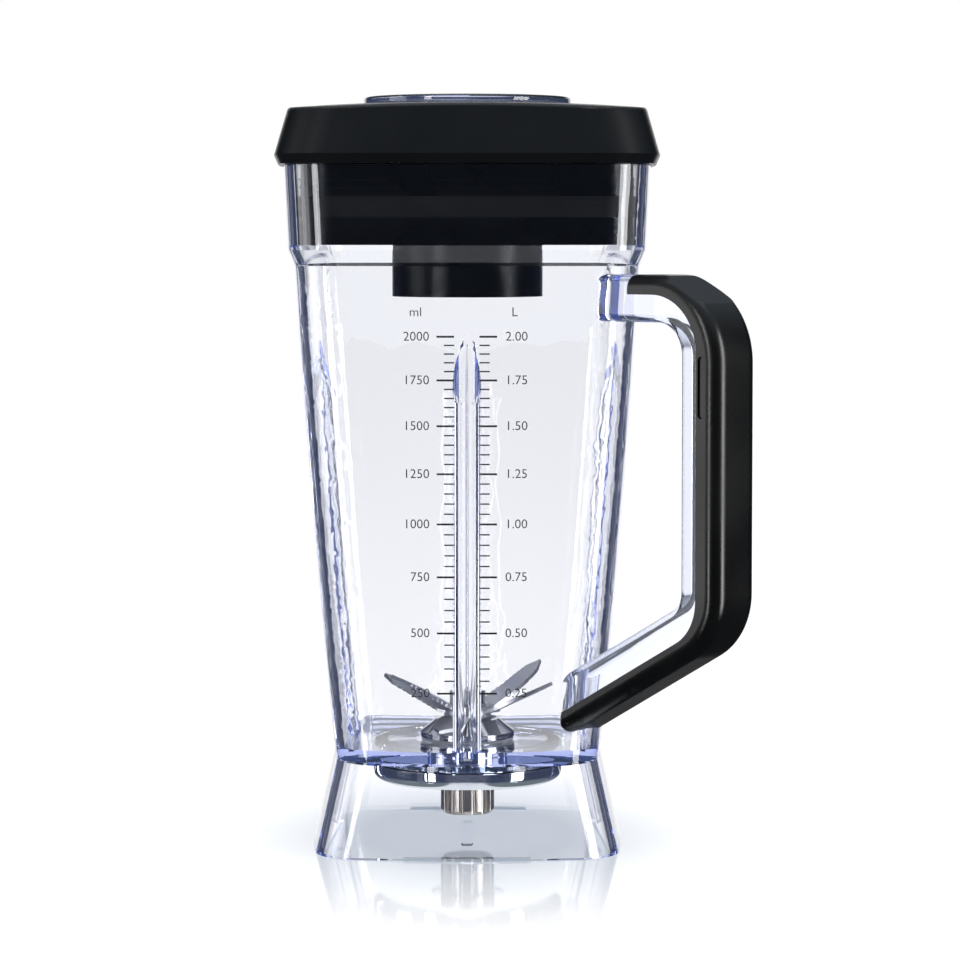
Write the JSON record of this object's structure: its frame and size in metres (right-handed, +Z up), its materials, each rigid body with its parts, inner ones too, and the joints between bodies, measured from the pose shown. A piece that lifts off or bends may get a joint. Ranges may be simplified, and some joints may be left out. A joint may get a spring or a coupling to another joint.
{
  "type": "blender jar",
  "caption": "Clear square blender jar with a corner handle, black lid, clear filler cap and a winged blade unit that a coupling under the floor drives.",
  "frame": {"origin": "on the drive axis, in the plane of the feet", "axes": "+Z up along the drive axis, -Y out of the wall that carries the scale, +X to the right of that wall; the handle is on the corner between +X and -Y"},
  "size_m": [0.182, 0.182, 0.2941],
  "materials": {
    "clear_plastic": "clear, faint blue at thick edges",
    "clear_cap": "clear",
    "black_grip": "satin",
    "black_lid": "satin",
    "black_plug": "satin",
    "black_seal": "soft",
    "grey_gasket": "soft",
    "chrome_plate": "mirror",
    "polished_steel": "polished",
    "blade_steel": "ground",
    "bearing_steel": "ground",
    "spring_steel": "dark",
    "coupling_steel": "machined"
  },
  "bodies": {
    "jar": {"jar_body": "clear_plastic", "handle_grip": "black_grip", "bearing_housing": "polished_steel", "housing_gasket": "grey_gasket", "retainer_nut": "chrome_plate", "shaft_seal": "black_seal", "bearing_circlip": "spring_steel", "lower_bearing_outer_ring": "bearing_steel", "upper_bearing_outer_ring": "bearing_steel"},
    "rotor": {"lower_bearing_inner_ring": "bearing_steel", "bearing_spacer": "bearing_steel", "upper_bearing_inner_ring": "bearing_steel", "blade_spacer": "bearing_steel", "blade_lower": "blade_steel", "blade_middle": "blade_steel", "blade_upper": "blade_steel", "blade_washer": "polished_steel", "blade_nut": "polished_steel", "blade_shaft": "bearing_steel", "drive_coupling": "coupling_steel"},
    "lid": {"lid_cover": "black_lid", "lid_plug": "black_plug", "lid_seal": "black_seal"},
    "cap": {"filler_cap": "clear_cap"}
  },
  "joints": [
    {"name": "blade_spin", "type": "hinge", "parent": "jar", "child": "rotor", "pos_m": [0, 0, 0], "axis": [0, 0, 1], "continuous": true},
    {"name": "lid_lift", "type": "slide", "parent": "jar", "child": "lid", "axis": [0, 0, 1], "range_m": [0, 0.07]},
    {"name": "cap_lift", "type": "slide", "parent": "lid", "child": "cap", "axis": [0, 0, 1], "range_m": [0, 0.055]}
  ]
}
